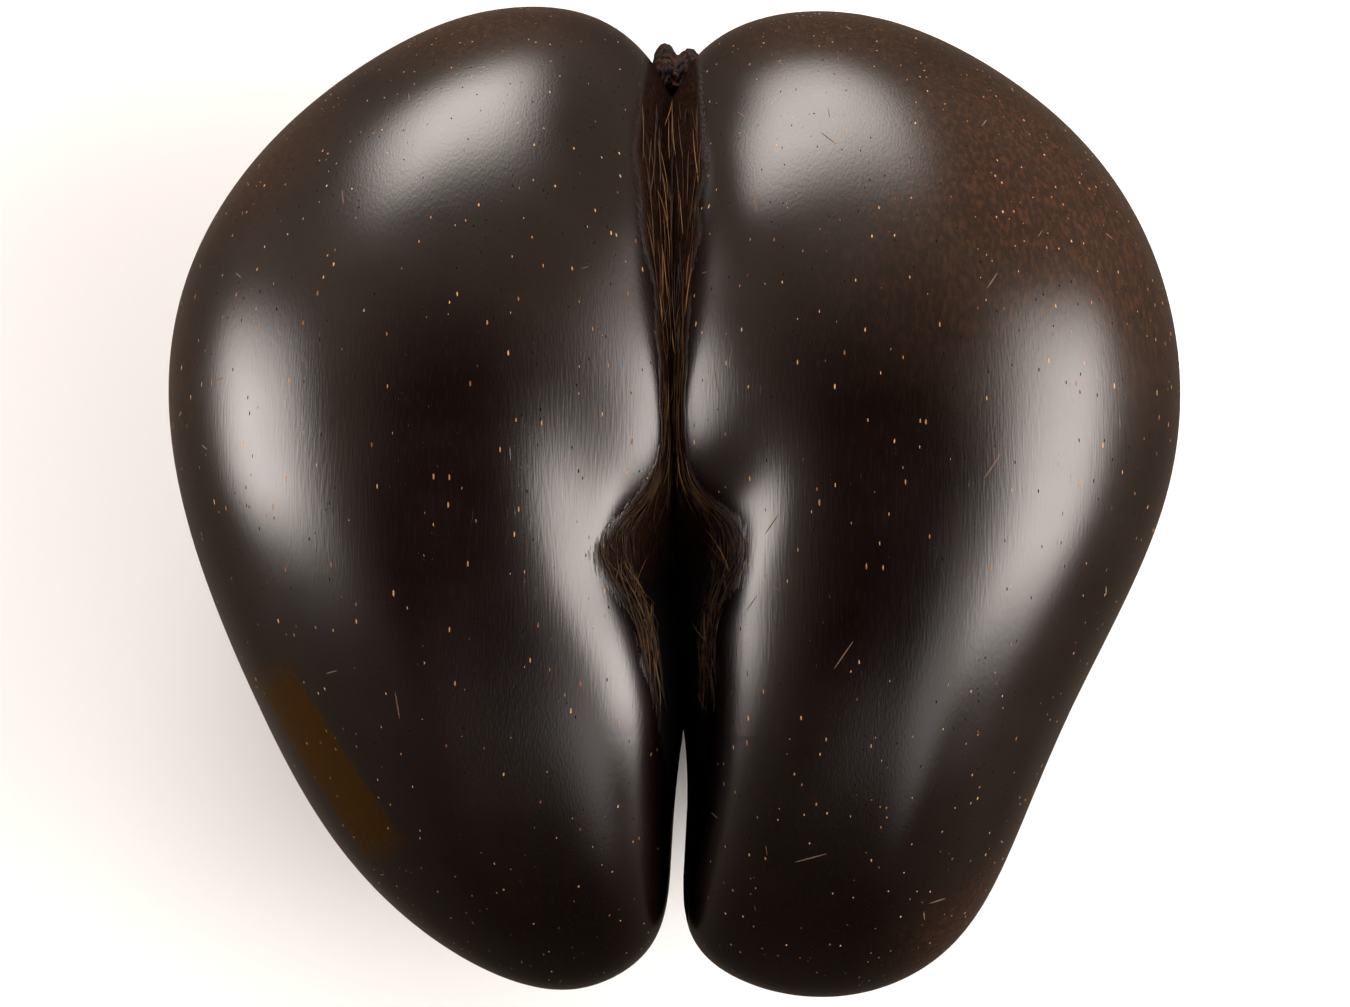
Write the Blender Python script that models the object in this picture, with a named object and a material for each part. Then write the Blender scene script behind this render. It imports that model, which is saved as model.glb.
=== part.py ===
"""A polished coco de mer: the two-lobed nut of the double coconut palm, lying on its back.

Metres. +X runs across both lobes, +Y from the tips towards the notch between the humps, and +Z out of
the front face. The origin is under the middle of the nut, on the surface that it lies on.

Each lobe is a stack of rings, one for each height along Y, and each ring is a squared ellipse. Between
the notch and the fork the rings of the two lobes overlap, so they end where they cross, in front and
behind, and the seam runs there. Above the notch and below the fork they are closed. The front is then
carved: the cleft along the seam, the hollow over the fork, and the folds that run from it up the lobes.
"""

import math

import bpy
import numpy as np

# Each lobe's poles are the top of its hump and the end of its tip, as (x, y). Its widths are given at
# angles in degrees down the lobe, from 0 at the hump to 180 at the tip: outwards from the line between
# the poles, and inwards from it, as far as the ring would reach if the other lobe weren't there. The
# squareness of the inner front is at angles too: 2 is an ellipse, and more is squarer.
LEFT_LOBE = {
    "side": -1,
    "hump": (-0.0412, 0.1456),
    "tip": (-0.0332, -0.1438),
    "outward": {
        0: 0.1085, 18: 0.1050, 40: 0.1132, 65: 0.1170, 90: 0.1081,
        115: 0.0961, 138: 0.0908, 158: 0.0820, 180: 0.0670,
    },
    "inward": {
        0: 0.0930, 18: 0.0800, 30: 0.0723, 40: 0.0674, 55: 0.0609, 65: 0.0630, 78: 0.0676,
        90: 0.0530, 98: 0.0465, 106: 0.0429, 112: 0.0427, 118: 0.0429, 127: 0.0439, 138: 0.0494,
        158: 0.0650, 180: 0.0640,
    },
    "squareness": {0: 2.0, 40: 2.1, 65: 2.2, 78: 2.0, 95: 3.0, 115: 3.9, 140: 4.2, 180: 2.4},
}
RIGHT_LOBE = {
    "side": 1,
    "hump": (0.0423, 0.1443),
    "tip": (0.0432, -0.1459),
    "outward": {
        0: 0.1075, 18: 0.1070, 40: 0.1142, 65: 0.1131, 90: 0.1014,
        115: 0.0810, 138: 0.0793, 158: 0.0878, 180: 0.0920,
    },
    "inward": {
        0: 0.1060, 18: 0.0918, 30: 0.0812, 40: 0.0738, 55: 0.0705, 65: 0.0654, 78: 0.0747,
        90: 0.0642, 98: 0.0537, 106: 0.0478, 112: 0.0458, 118: 0.0456, 127: 0.0494, 138: 0.0606,
        158: 0.0863, 180: 0.0880,
    },
    "squareness": {0: 2.0, 40: 2.3, 65: 2.75, 78: 2.1, 95: 2.1, 115: 3.2, 140: 4.0, 180: 2.4},
}
# At the same angles: how deep the lobes are in front of their middle plane and behind it, how square
# their rings are towards the outer side and over the back.
FRONT_DEPTH = {0: 0.0830, 45: 0.0833, 90: 0.0857, 120: 0.0869, 150: 0.0800, 180: 0.0700}
BACK_DEPTH = {0: 0.0840, 45: 0.0850, 85: 0.0880, 120: 0.0830, 150: 0.0740, 180: 0.0680}
OUTER_SQUARENESS = {0: 2.0, 60: 2.1, 110: 2.2, 180: 2.2}
BACK_SQUARENESS = {0: 2.0, 60: 2.3, 110: 2.6, 180: 2.2}
# How far forward the rings sit, at heights along Y.
FORWARD_LEAN = {-0.1460: 0.0080, -0.1100: 0.0030, 0.0: 0.0, 0.1460: 0.0}
# The inner squareness gives way to the outer one round each ring, from this cosine on either side of it.
SIDE_BLEND = 0.5

# Where the seam runs in front, as x at heights along Y. The lobes are drawn to it over this width.
SEAM_LINE = {
    -0.0700: 0.0027, -0.0450: 0.0012, -0.0200: -0.0003, 0.0: -0.0007, 0.0600: -0.0007, 0.1220: -0.0007,
}
SEAM_EASE = 0.022
# Over this length from the notch and the fork, the rings' points end in the seam.
SPREAD_FADE = 0.030
# Lengths below this count as nothing.
HAIR = 1e-7

# Carving fades in from the middle plane up to this height over it.
CARVED_FROM = 0.035

# The cleft, at heights along Y: how much deeper it is cut than the plain rings, and its half width.
CLEFT_DEPTH = {
    -0.0700: 0.0, -0.0350: 0.0, 0.0: 0.0010, 0.0300: 0.0018, 0.0600: 0.0027, 0.0950: 0.0044, 0.1220: 0.0,
}
CLEFT_WIDTH = {
    -0.0700: 0.0060, 0.0: 0.0028, 0.0300: 0.0025, 0.0600: 0.0075, 0.0950: 0.0090, 0.1220: 0.0110,
}

# The hollow over the fork: its middle height, and its depth, half width and half height.
HOLLOW_Y = -0.0146
HOLLOW_DEPTH = 0.0083
HOLLOW_WIDTH = 0.0144
HOLLOW_HEIGHT = 0.0135

# The folds rise from the hollow and fade out up each lobe, at (x, y) from its start to its end. They fade
# over these shares of their length, past the start and before it.
FOLDS = (
    {"start": (-0.0158, -0.0157), "end": (-0.0440, 0.0508), "depth": 0.0078, "width": 0.0191},
    {"start": (0.0099, -0.0107), "end": (0.0315, 0.0260), "depth": 0.0050, "width": 0.0119},
)
FOLD_FADES = (0.6, 0.4)

# The two spots that it lies on, one on the back of each lobe, are this much flatter than the lobes.
FLAT_DEPTH = 0.0008

# Where the notch and the fork are looked for, as heights where the lobes are apart and where they touch,
# in how many halvings, and at how many points of two rings their crossing is.
NOTCH_SEARCH = (0.140, 0.050)
FORK_SEARCH = (-0.120, -0.020)
HALVINGS = 50
CROSSING_STEPS = 400

# The remains of the husk that stand in the notch: where they stand, their half size, what share of it
# they reach down into the notch, how lumpy they are, the furrow between their two knobs, and the play
# between them and the nut. Each lump is a wave that goes round them a few times while it climbs along.
TUFT_CENTRE = (0.0006, 0.1235, 0.0790)
TUFT_HALF = (0.0086, 0.0124, 0.0210)
TUFT_SHORTER_BELOW = 0.65
TUFT_LUMPS = 0.05
LUMP_SEED = 4
LUMPS = 5
LUMP_ROUNDS = (2, 6)
LUMP_CLIMBS = (3.0, 8.0)
FURROW_X = 0.0002
FURROW_DEPTH = 0.0034
FURROW_WIDTH = 0.0022
CLEARANCE = 0.0003

# How finely the rings and the tuft are cut into facets. Crowding draws the points towards the seam.
HUMP_ROWS = 9
SEAM_ROWS = 34
TIP_ROWS = 16
RING_STEPS = 40
RING_CROWDING = 0.6
TUFT_ROWS = 18
TUFT_STEPS = 20
DECIMALS = 7

SHELL_COLOUR = (0.020, 0.011, 0.007, 1.0)
SHELL_ROUGHNESS = 0.3
HUSK_COLOUR = (0.035, 0.016, 0.007, 1.0)
HUSK_ROUGHNESS = 0.85


def spline(stations):
    """A natural cubic spline through {place: value}, as a function of the place."""
    knots = np.array(list(stations.keys()), dtype=float)
    values = np.array(list(stations.values()))
    gaps = np.diff(knots)
    slopes = np.diff(values) / gaps
    system = np.eye(len(knots))
    load = np.zeros(len(knots))
    for i in range(1, len(knots) - 1):
        system[i, i - 1 : i + 2] = gaps[i - 1], 2 * (gaps[i - 1] + gaps[i]), gaps[i]
        load[i] = 6 * (slopes[i] - slopes[i - 1])
    bends = np.linalg.solve(system, load)

    def at(place):
        place = np.clip(place, knots[0], knots[-1])
        i = np.clip(np.searchsorted(knots, place, side="right") - 1, 0, len(gaps) - 1)
        before, after, gap = place - knots[i], knots[i + 1] - place, gaps[i]
        straight = (values[i] * after + values[i + 1] * before) / gap
        curve = bends[i] * (after**3 / gap - after * gap) + bends[i + 1] * (before**3 / gap - before * gap)
        return straight + curve / 6

    return at


front_depth, back_depth = spline(FRONT_DEPTH), spline(BACK_DEPTH)
outer_squareness, back_squareness = spline(OUTER_SQUARENESS), spline(BACK_SQUARENESS)
forward_lean, seam_line = spline(FORWARD_LEAN), spline(SEAM_LINE)
cleft_depth, cleft_width = spline(CLEFT_DEPTH), spline(CLEFT_WIDTH)


def ease(share):
    """0 up to 0, 1 from 1, and smooth between."""
    share = np.clip(share, 0, 1)
    return share * share * (3 - 2 * share)


def turning_point(test, still_false, now_true):
    """Where a test turns true between two places."""
    for _ in range(HALVINGS):
        middle = (still_false + now_true) / 2
        if test(middle):
            now_true = middle
        else:
            still_false = middle
    return now_true


class Lobe:
    """One half of the nut, before it is cut off at the seam."""

    def __init__(self, side, hump, tip, outward, inward, squareness):
        self.side, self.hump, self.tip = side, np.array(hump), np.array(tip)
        self.outward, self.inward = spline(outward), spline(inward)
        self.inner_squareness = spline(squareness)

    def angle_at(self, height):
        """The angle down the lobe of the ring at that height."""
        middle, half = (self.hump[1] + self.tip[1]) / 2, (self.hump[1] - self.tip[1]) / 2
        return math.degrees(math.acos(max(-1.0, min(1.0, (height - middle) / half))))

    def ring(self, angle):
        """The ring at that angle: its height, its sides and middle along X, its depths and squareness."""
        swell = math.sin(math.radians(angle))
        middle, height = self.hump + (self.tip - self.hump) * (1 - math.cos(math.radians(angle))) / 2
        outer = middle + self.side * self.outward(angle) * swell
        inner = middle - self.side * self.inward(angle) * swell
        return {
            "height": height,
            "inner": inner,
            "middle": (outer + inner) / 2,
            "half": abs(outer - inner) / 2,
            "front": front_depth(angle) * swell,
            "back": back_depth(angle) * swell,
            "square": (self.inner_squareness(angle), outer_squareness(angle), back_squareness(angle)),
            "lean": forward_lean(height),
        }

    def outline(self, ring, turn):
        """The ring's x and z, with turn going from its inner side over the front to the back."""
        across, out = np.cos(turn), np.sin(turn)
        inner, outer, back = ring["square"]
        square = outer + (np.where(out > 0, inner, back) - outer) * ease(across + SIDE_BLEND)
        reach = (np.abs(across) ** square + np.abs(out) ** square) ** (-1 / square)
        x = ring["middle"] - self.side * ring["half"] * across * reach
        depth = (ring["front"] + ring["back"]) / 2 + (ring["front"] - ring["back"]) / 2 * out
        return x, ring["lean"] + depth * out * reach

    def turn_at(self, ring, x, way):
        """How far round from its inner side the ring comes to x, over the front, or behind with way -1."""
        def past(turn):
            return self.side * (self.outline(ring, way * turn)[0] - x) > 0

        return turning_point(past, 0.0, math.pi / 2)


def carving(x, y, seam_x):
    """How deep the front is cut at x and y."""
    off = x - seam_x
    cut = cleft_depth(y) * np.exp(-((off / cleft_width(y)) ** 2))
    cut = cut + HOLLOW_DEPTH * np.exp(-((off / HOLLOW_WIDTH) ** 4) - ((y - HOLLOW_Y) / HOLLOW_HEIGHT) ** 2)
    for fold in FOLDS:
        start, end = np.array(fold["start"]), np.array(fold["end"])
        length = np.linalg.norm(end - start)
        along_x, along_y = (end - start) / length
        along = ((x - start[0]) * along_x + (y - start[1]) * along_y) / length
        aside = (x - start[0]) * along_y - (y - start[1]) * along_x
        past, before = np.clip(along, 0, None) / FOLD_FADES[0], np.clip(along, None, 0) / FOLD_FADES[1]
        fade = np.exp(-(past**2) - before**2)
        cut = cut + fold["depth"] * fade * np.exp(-((aside / fold["width"]) ** 2))
    return cut


class Nut:
    """Both lobes and the seam between them."""

    def __init__(self):
        self.lobes = [Lobe(**LEFT_LOBE), Lobe(**RIGHT_LOBE)]
        self.notch = turning_point(self.touching, *NOTCH_SEARCH)
        self.fork = turning_point(self.touching, *FORK_SEARCH)
        self.seams = {}

    def touching(self, height):
        left, right = (lobe.ring(lobe.angle_at(height))["inner"] for lobe in self.lobes)
        return left > right

    def seam_at(self, height):
        """Where the lobes cross at that height, as (x, z), in front and behind."""
        height = round(min(self.notch, max(self.fork, height)), 9)
        if height not in self.seams:
            rings = [lobe.ring(lobe.angle_at(height)) for lobe in self.lobes]
            self.seams[height] = [self.crossing(rings, way) for way in (1, -1)]
        return self.seams[height]

    def crossing(self, rings, way):
        """The (x, z) where the rings cross over the front, with way 1, or behind, with way -1."""
        if rings[0]["inner"] - rings[1]["inner"] < HAIR:
            return np.mean([(ring["inner"], ring["lean"]) for ring in rings], axis=0)
        turns = way * np.linspace(0, np.pi / 2, CROSSING_STEPS)
        left, right = zip(self.lobes, rings)
        left_x, left_z = left[0].outline(left[1], turns)
        right_x, right_z = right[0].outline(right[1], turns)
        shared_x = np.linspace(rings[1]["inner"], rings[0]["inner"], CROSSING_STEPS)
        over = np.interp(shared_x, left_x[::-1], left_z[::-1]) - np.interp(shared_x, right_x, right_z)
        x = np.interp(0.0, -way * over, shared_x)
        heights = [lobe.outline(ring, way * lobe.turn_at(ring, x, way))[1] for lobe, ring in (left, right)]
        return x, np.mean(heights)

    def inside(self, height):
        """How far a height is from the nearer end of the seam, and less than 0 past it."""
        return min(height - self.fork, self.notch - height)

    def drawn_x(self, height):
        """The x of the seam's front at that height."""
        crossing_x = self.seam_at(height)[0][0]
        return crossing_x + (seam_line(height) - crossing_x) * ease(self.inside(height) / SPREAD_FADE)

    def row(self, lobe, angle, shares):
        """Points round the lobe's ring at that angle, at shares of the way from its inner side and back."""
        ring = lobe.ring(angle)
        height = ring["height"]
        (front_x, front_z), (back_x, back_z) = self.seam_at(height)
        drawn_x, inside = self.drawn_x(height), self.inside(height)
        start = lobe.turn_at(ring, front_x, 1) if inside > HAIR else 0.0
        end = lobe.turn_at(ring, back_x, -1) if inside > HAIR else 0.0
        spread = ease(inside / SPREAD_FADE)
        turn = start * spread + (2 * np.pi - (start + end) * spread) * shares
        turn = np.clip(turn, start, 2 * np.pi - end)
        x, z = lobe.outline(ring, turn)
        if inside > -HAIR:
            in_front = turn <= np.pi
            seam_x = np.where(in_front, front_x, back_x)
            near = np.exp(-(((x - seam_x) / SEAM_EASE) ** 2))
            z = z + np.where(in_front, front_z - z[0], back_z - z[-1]) * near
            x = np.where((turn <= start) | (turn >= 2 * np.pi - end), seam_x, x)
            x = x + np.where(in_front, drawn_x - front_x, 0) * near
        z = z - carving(x, height, drawn_x) * ease(z / CARVED_FROM)
        return np.column_stack([x, np.full_like(x, height), z])


def crowded(steps):
    """Shares from 0 to 1 that lie closer together towards both ends."""
    share = np.linspace(0, 1, steps + 1)
    return share - RING_CROWDING * np.sin(2 * np.pi * share) / (2 * np.pi)


def row_angles(nut, lobe):
    """The angles of the lobe's rings, from hump to tip, with the same heights in both along the seam."""
    humps = np.linspace(0, lobe.angle_at(nut.notch), HUMP_ROWS + 1)[1:-1]
    shares = (1 - np.cos(np.pi * np.linspace(0, 1, SEAM_ROWS + 1))) / 2
    seams = [lobe.angle_at(nut.notch + (nut.fork - nut.notch) * share) for share in shares]
    tips = np.linspace(lobe.angle_at(nut.fork), 180, TIP_ROWS + 1)[1:-1]
    return [*humps, *seams, *tips]


class Skin:
    """Points and faces of one closed surface, in which equal points are one."""

    def __init__(self):
        self.points, self.faces, self.index = [], [], {}

    def point(self, place):
        key = tuple(np.round(place, DECIMALS))
        if key not in self.index:
            self.index[key] = len(self.points)
            self.points.append(place)
        return self.index[key]

    def wrap(self, first_pole, rows, last_pole, turned):
        """Faces from one pole over the rows to the other. turned reverses them."""
        rows = [[self.point(place) for place in row] for row in rows]
        first, last = self.point(first_pole), self.point(last_pole)
        rows = [[first] * len(rows[0])] + rows + [[last] * len(rows[0])]
        for upper, lower in zip(rows, rows[1:]):
            for j in range(len(upper) - 1):
                corners = [upper[j], lower[j], lower[j + 1], upper[j + 1]]
                corners = [corner for k, corner in enumerate(corners) if corner != corners[k - 1]]
                if len(corners) > 2:
                    self.faces.append(corners[::-1] if turned else corners)

    def mesh(self, name):
        mesh = bpy.data.meshes.new(name)
        mesh.from_pydata([tuple(place) for place in self.points], [], self.faces)
        mesh.shade_smooth()
        return mesh


def nut_mesh():
    nut, skin, shares = Nut(), Skin(), crowded(RING_STEPS)
    for lobe in nut.lobes:
        rows = [nut.row(lobe, angle, shares) for angle in row_angles(nut, lobe)]
        hump = (*lobe.hump, forward_lean(lobe.hump[1]))
        tip = (*lobe.tip, forward_lean(lobe.tip[1]))
        skin.wrap(hump, rows, tip, lobe.side < 0)
    points = np.array(skin.points)
    points[:, :2] -= (points[:, :2].min(axis=0) + points[:, :2].max(axis=0)) / 2
    points[:, 2] = np.maximum(points[:, 2] - points[:, 2].min() - FLAT_DEPTH, 0)
    skin.points = points
    return skin.mesh("nut")


def tuft_mesh():
    """The remains of the husk as a lumpy loaf with a furrow along its top, deeper than the notch."""
    draw = np.random.default_rng(LUMP_SEED)
    waves = []
    for _ in range(LUMPS):
        rounds, climbs = draw.integers(*LUMP_ROUNDS), draw.uniform(*LUMP_CLIMBS)
        waves.append((rounds, climbs, draw.uniform(0, 2 * np.pi)))
    turn = np.linspace(0, 2 * np.pi, TUFT_STEPS + 1)
    rows = []
    for share in np.linspace(0, 1, TUFT_ROWS + 1)[1:-1]:
        length = -math.cos(math.pi * share)
        swell = math.sqrt(1 - length**2)
        lumps = sum(np.sin(rounds * turn + climbs * length + phase) for rounds, climbs, phase in waves)
        size = swell * (1 + TUFT_LUMPS * lumps)
        x = TUFT_HALF[0] * np.cos(turn) * size
        y = TUFT_HALF[1] * np.sin(turn) * size
        furrow = FURROW_DEPTH * swell * np.exp(-(((x - FURROW_X) / FURROW_WIDTH) ** 2))
        y = np.where(y > 0, y - np.minimum(furrow, y), y * TUFT_SHORTER_BELOW)
        z = np.full_like(x, TUFT_HALF[2] * length)
        row = np.column_stack([x, y, z]) + TUFT_CENTRE
        row[-1] = row[0]
        rows.append(row)
    ends = [np.array(TUFT_CENTRE) + (0, 0, end * TUFT_HALF[2]) for end in (-1, 1)]
    skin = Skin()
    skin.wrap(ends[0], rows, ends[1], True)
    return skin.mesh("husk_tuft")


def material(name, colour, roughness):
    made = bpy.data.materials.new(name)
    made.use_nodes = True
    shader = made.node_tree.nodes["Principled BSDF"]
    shader.inputs["Base Color"].default_value = colour
    shader.inputs["Roughness"].default_value = roughness
    shader.inputs["Metallic"].default_value = 0.0
    return made


def add_object(mesh, look=None):
    made = bpy.data.objects.new(mesh.name, mesh)
    bpy.context.scene.collection.objects.link(made)
    if look:
        mesh.materials.append(look)
    return made


def add_cutter(nut):
    """The nut, grown by the clearance, as a hidden cutter."""
    mesh = nut.data.copy()
    mesh.name = "nut_with_clearance"
    for vertex, normal in zip(mesh.vertices, [v.normal.copy() for v in mesh.vertices]):
        vertex.co += normal * CLEARANCE
    cutter = add_object(mesh)
    cutter.hide_render = True
    cutter.display_type = "WIRE"
    return cutter


def main():
    for old in list(bpy.data.objects):
        bpy.data.objects.remove(old)
    nut = add_object(nut_mesh(), material("polished_shell", SHELL_COLOUR, SHELL_ROUGHNESS))
    tuft = add_object(tuft_mesh(), material("dry_husk", HUSK_COLOUR, HUSK_ROUGHNESS))
    cut = tuft.modifiers.new("room_for_the_nut", "BOOLEAN")
    cut.object = add_cutter(nut)
    cut.operation = "DIFFERENCE"
    cut.solver = "EXACT"
    cut.use_self = True


if __name__ == "__main__":
    main()
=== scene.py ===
import math

import bpy
import numpy as np
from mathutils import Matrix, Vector, noise
from mathutils.bvhtree import BVHTree


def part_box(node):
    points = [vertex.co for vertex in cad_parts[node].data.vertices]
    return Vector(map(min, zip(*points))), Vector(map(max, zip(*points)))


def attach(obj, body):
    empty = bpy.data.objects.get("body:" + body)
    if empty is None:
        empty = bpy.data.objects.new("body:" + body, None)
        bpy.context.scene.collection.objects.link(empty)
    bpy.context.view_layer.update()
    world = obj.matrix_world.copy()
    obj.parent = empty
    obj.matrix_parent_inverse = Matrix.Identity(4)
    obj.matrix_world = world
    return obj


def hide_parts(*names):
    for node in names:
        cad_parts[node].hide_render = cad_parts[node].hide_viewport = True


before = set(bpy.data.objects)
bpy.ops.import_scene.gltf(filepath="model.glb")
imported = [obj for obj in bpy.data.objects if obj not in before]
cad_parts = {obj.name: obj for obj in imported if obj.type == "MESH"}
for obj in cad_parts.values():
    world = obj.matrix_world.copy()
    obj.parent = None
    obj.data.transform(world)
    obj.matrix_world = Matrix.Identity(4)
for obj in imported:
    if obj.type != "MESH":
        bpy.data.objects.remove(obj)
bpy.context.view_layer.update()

bl_info = {
    "name": "Polished coco de mer",
    "version": (1, 0, 0),
    "blender": (4, 5, 0),
    "location": "3D View > Sidebar > Coco de mer",
    "description": "The polished shell, dry fibres and husk of a two-lobed palm nut, and a stage",
    "category": "Add Mesh",
}

NUT_HIGH = np.array(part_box("nut")[1])
TUFT_LOW, TUFT_HIGH = (np.array(corner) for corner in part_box("husk_tuft"))

# The form of the two lobes. The poles are the top of each hump and the end of each tip, as (x, y), and the
# widths are given at angles in degrees down the lobe, from 0 at the hump to 180 at the tip.
LEFT_LOBE = {
    "side": -1,
    "hump": (-0.0412, 0.1456),
    "tip": (-0.0332, -0.1438),
    "outward": {
        0: 0.1085, 18: 0.1050, 40: 0.1132, 65: 0.1170, 90: 0.1081,
        115: 0.0961, 138: 0.0908, 158: 0.0820, 180: 0.0670,
    },
    "inward": {
        0: 0.0930, 18: 0.0800, 30: 0.0723, 40: 0.0674, 55: 0.0609, 65: 0.0630, 78: 0.0676,
        90: 0.0530, 98: 0.0465, 106: 0.0429, 112: 0.0427, 118: 0.0429, 127: 0.0439, 138: 0.0494,
        158: 0.0650, 180: 0.0640,
    },
    "squareness": {0: 2.0, 40: 2.1, 65: 2.2, 78: 2.0, 95: 3.0, 115: 3.9, 140: 4.2, 180: 2.4},
}
RIGHT_LOBE = {
    "side": 1,
    "hump": (0.0423, 0.1443),
    "tip": (0.0432, -0.1459),
    "outward": {
        0: 0.1075, 18: 0.1070, 40: 0.1142, 65: 0.1131, 90: 0.1014,
        115: 0.0810, 138: 0.0793, 158: 0.0878, 180: 0.0920,
    },
    "inward": {
        0: 0.1060, 18: 0.0918, 30: 0.0812, 40: 0.0738, 55: 0.0705, 65: 0.0654, 78: 0.0747,
        90: 0.0642, 98: 0.0537, 106: 0.0478, 112: 0.0458, 118: 0.0456, 127: 0.0494, 138: 0.0606,
        158: 0.0863, 180: 0.0880,
    },
    "squareness": {0: 2.0, 40: 2.3, 65: 2.75, 78: 2.1, 95: 2.1, 115: 3.2, 140: 4.0, 180: 2.4},
}
FRONT_DEPTH = {0: 0.0830, 45: 0.0833, 90: 0.0857, 120: 0.0869, 150: 0.0800, 180: 0.0700}
BACK_DEPTH = {0: 0.0840, 45: 0.0850, 85: 0.0880, 120: 0.0830, 150: 0.0740, 180: 0.0680}
OUTER_SQUARENESS = {0: 2.0, 60: 2.1, 110: 2.2, 180: 2.2}
BACK_SQUARENESS = {0: 2.0, 60: 2.3, 110: 2.6, 180: 2.2}
FORWARD_LEAN = {-0.1460: 0.0080, -0.1100: 0.0030, 0.0: 0.0, 0.1460: 0.0}
# Where the seam runs in front, as x at heights along Y. The lobes are drawn to it over this width.
SEAM_LINE = {
    -0.0700: 0.0027, -0.0450: 0.0012, -0.0200: -0.0003, 0.0: -0.0007, 0.0600: -0.0007, 0.1220: -0.0007,
}
SEAM_EASE = 0.022
# Over this length from the notch and the fork, the rings' points end in the seam and don't spread from it.
SPREAD_FADE = 0.030
HAIR = 1e-7
SIDE_BLEND = 0.5
FOLD_FADES = (0.6, 0.4)

# The carving of the front, at heights along Y: the cleft, the hollow over the fork and the two folds.
CARVED_FROM = 0.035
CLEFT_DEPTH = {
    -0.0700: 0.0, -0.0350: 0.0, 0.0: 0.0010, 0.0300: 0.0018, 0.0600: 0.0027, 0.0950: 0.0044, 0.1220: 0.0,
}
CLEFT_WIDTH = {
    -0.0700: 0.0060, 0.0: 0.0028, 0.0300: 0.0025, 0.0600: 0.0075, 0.0950: 0.0090, 0.1220: 0.0110,
}
HOLLOW_Y = -0.0146
HOLLOW_DEPTH = 0.0083
HOLLOW_WIDTH = 0.0144
HOLLOW_HEIGHT = 0.0135
FOLDS = (
    {"start": (-0.0158, -0.0157), "end": (-0.0440, 0.0508), "depth": 0.0078, "width": 0.0191},
    {"start": (0.0099, -0.0107), "end": (0.0315, 0.0260), "depth": 0.0050, "width": 0.0119},
)
FLAT_DEPTH = 0.0008
HALVINGS = 50
CROSSING_STEPS = 400

# How finely the shell is cut: rows over the humps, along the seam and over the tips, and steps round a
# ring. Crowding draws the steps towards the seam.
HUMP_ROWS = 26
SEAM_ROWS = 150
TIP_ROWS = 46
RING_STEPS = 200
RING_CROWDING = 0.88

# How far to each side of the seam the shell was left unpolished, at heights along Y, and how much of that
# is left behind.
RAW_WIDTH = {
    -0.1440: 0.0010, -0.1000: 0.0022, -0.0750: 0.0050, -0.0587: 0.0088, -0.0290: 0.0143, -0.0056: 0.0175,
    0.0: 0.0110, 0.0060: 0.0062, 0.0150: 0.0040, 0.0300: 0.0034, 0.0445: 0.0042, 0.0590: 0.0056,
    0.0740: 0.0072, 0.0960: 0.0094, 0.1220: 0.0096, 0.1456: 0.0050,
}
RAW_BEHIND = 0.45
# Its edges wander by this share of that, in waves this long and of their own on each side, and are soft from
# this share of it outwards.
RAW_WANDER = 0.3
RAW_WAVE = 0.0140
RAW_SIDE_WAVES = (0.3, 5.7)
RAW_EDGE = 0.6

# The cave between the lobes over the fork, painted black as shade: below this height along Y, and from this
# deep below the lobes' crests, on their inner sides only, each with the length over which it sets in.
CAVE_HIGH, CAVE_HIGH_FADE = -0.0120, 0.0140
CAVE_DEPTH, CAVE_DEPTH_FADE = 0.0100, 0.0090
CAVE_SIDE_FADE = 0.0120

# The suture, a hairline crack along the seam: where it runs along Y, its depth and its half width.
SUTURE_LOW, SUTURE_HIGH = -0.0130, 0.1200
SUTURE_FADE = 0.0060
SUTURE_DEPTH = 0.0016
SUTURE_WIDTH = 0.00045

# The streaks pressed into the unpolished skin: their size, how deep they are on the whole, and how much finer
# and weaker the second set is.
STREAK_WIDTH = 0.0011
STREAK_LENGTH = 0.0120
STREAK_MEAN = 0.5
STREAK_FINER, STREAK_WEAKER = 2.3, 0.35
RAW_ENOUGH = 0.02

# The loose strands: the heights along Y where they lie in the cleft and round the fork, what share of them
# is in the cleft, how far off the seam they are as a share of the unpolished band, how long they are, how far
# they stray across it, how far they stand off the shell, how thick they are as a share of the thickest, how
# many are golden, the tones of those and of the others, and how much tone is left in those round the fork.
STRAND_SEED = 7
CLEFT_STRANDS = (-0.0120, 0.1190)
FORK_STRANDS = (-0.0630, 0.0120)
CLEFT_STRAND_SHARE = 0.4
CLEFT_STRAND_OFF, FORK_STRAND_OFF = (0.02, 0.90), (0.55, 1.00)
STRAND_LENGTH = (0.0050, 0.0220)
STRAND_DRIFT = 0.18
STRAND_LIFT = (0.00005, 0.00045)
STRAND_STEPS = 9
STRAND_THICKNESS = (0.35, 1.0)
STRAND_SIDES = 3
STRAND_TAPER = 0.6
STRAND_INNERMOST = 0.01
GOLDEN_SHARE = 0.12
GOLDEN_TONES, DARK_TONES = (0.5, 1.0), (0.0, 0.22)
FORK_STRAND_TONE = 0.45
# A direction that no strand runs along, to turn its sides from.
ASKEW = (0.31, 0.17, 0.94)

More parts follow.
